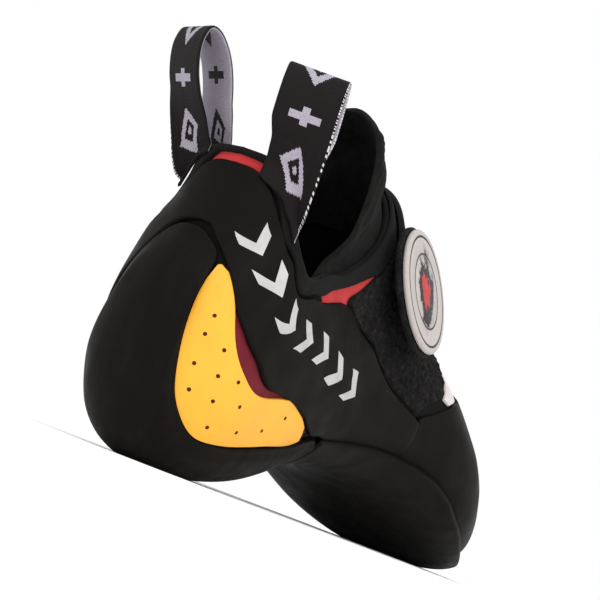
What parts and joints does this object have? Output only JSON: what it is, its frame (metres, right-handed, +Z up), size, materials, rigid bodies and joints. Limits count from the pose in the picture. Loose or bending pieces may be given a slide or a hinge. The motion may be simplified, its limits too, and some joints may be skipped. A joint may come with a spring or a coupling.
{
  "type": "climbing shoe",
  "caption": "Downturned climbing shoe with rubber heel and sole, tensioned heel band, stretch tongue, instep strap with a round tab, and webbing pull loops.",
  "frame": {"origin": "on the floor under the middle of the shoe's outline", "axes": "+X towards the toes, +Y towards the inner (medial) side, +Z up"},
  "size_m": [0.246, 0.091, 0.1351],
  "materials": {
    "black_rubber": "satin",
    "black_fabric": "matte",
    "black_webbing": "matte",
    "red_microfibre": "matte",
    "yellow_rubber": "satin",
    "pale_microfibre": "matte",
    "board": "matte",
    "insole_fabric": "matte",
    "tab_rubber": "satin"
  },
  "bodies": {
    "root": {"upper": "red_microfibre", "midsole_board": "board", "insole": "insole_fabric", "front_outsole": "black_rubber", "heel_cup": "black_rubber", "toe_rand": "black_rubber", "sling_band": "black_rubber", "heel_panel_lateral": "yellow_rubber", "heel_panel_medial": "yellow_rubber", "vamp_panel": "pale_microfibre", "closure_pad": "black_fabric", "collar_binding": "black_fabric", "tongue": "black_fabric", "closure_strap": "black_webbing", "strap_tab_backing": "black_webbing", "strap_tab_face": "tab_rubber", "pull_loop_lateral": "black_webbing", "pull_loop_medial": "black_webbing"}
  },
  "joints": []
}
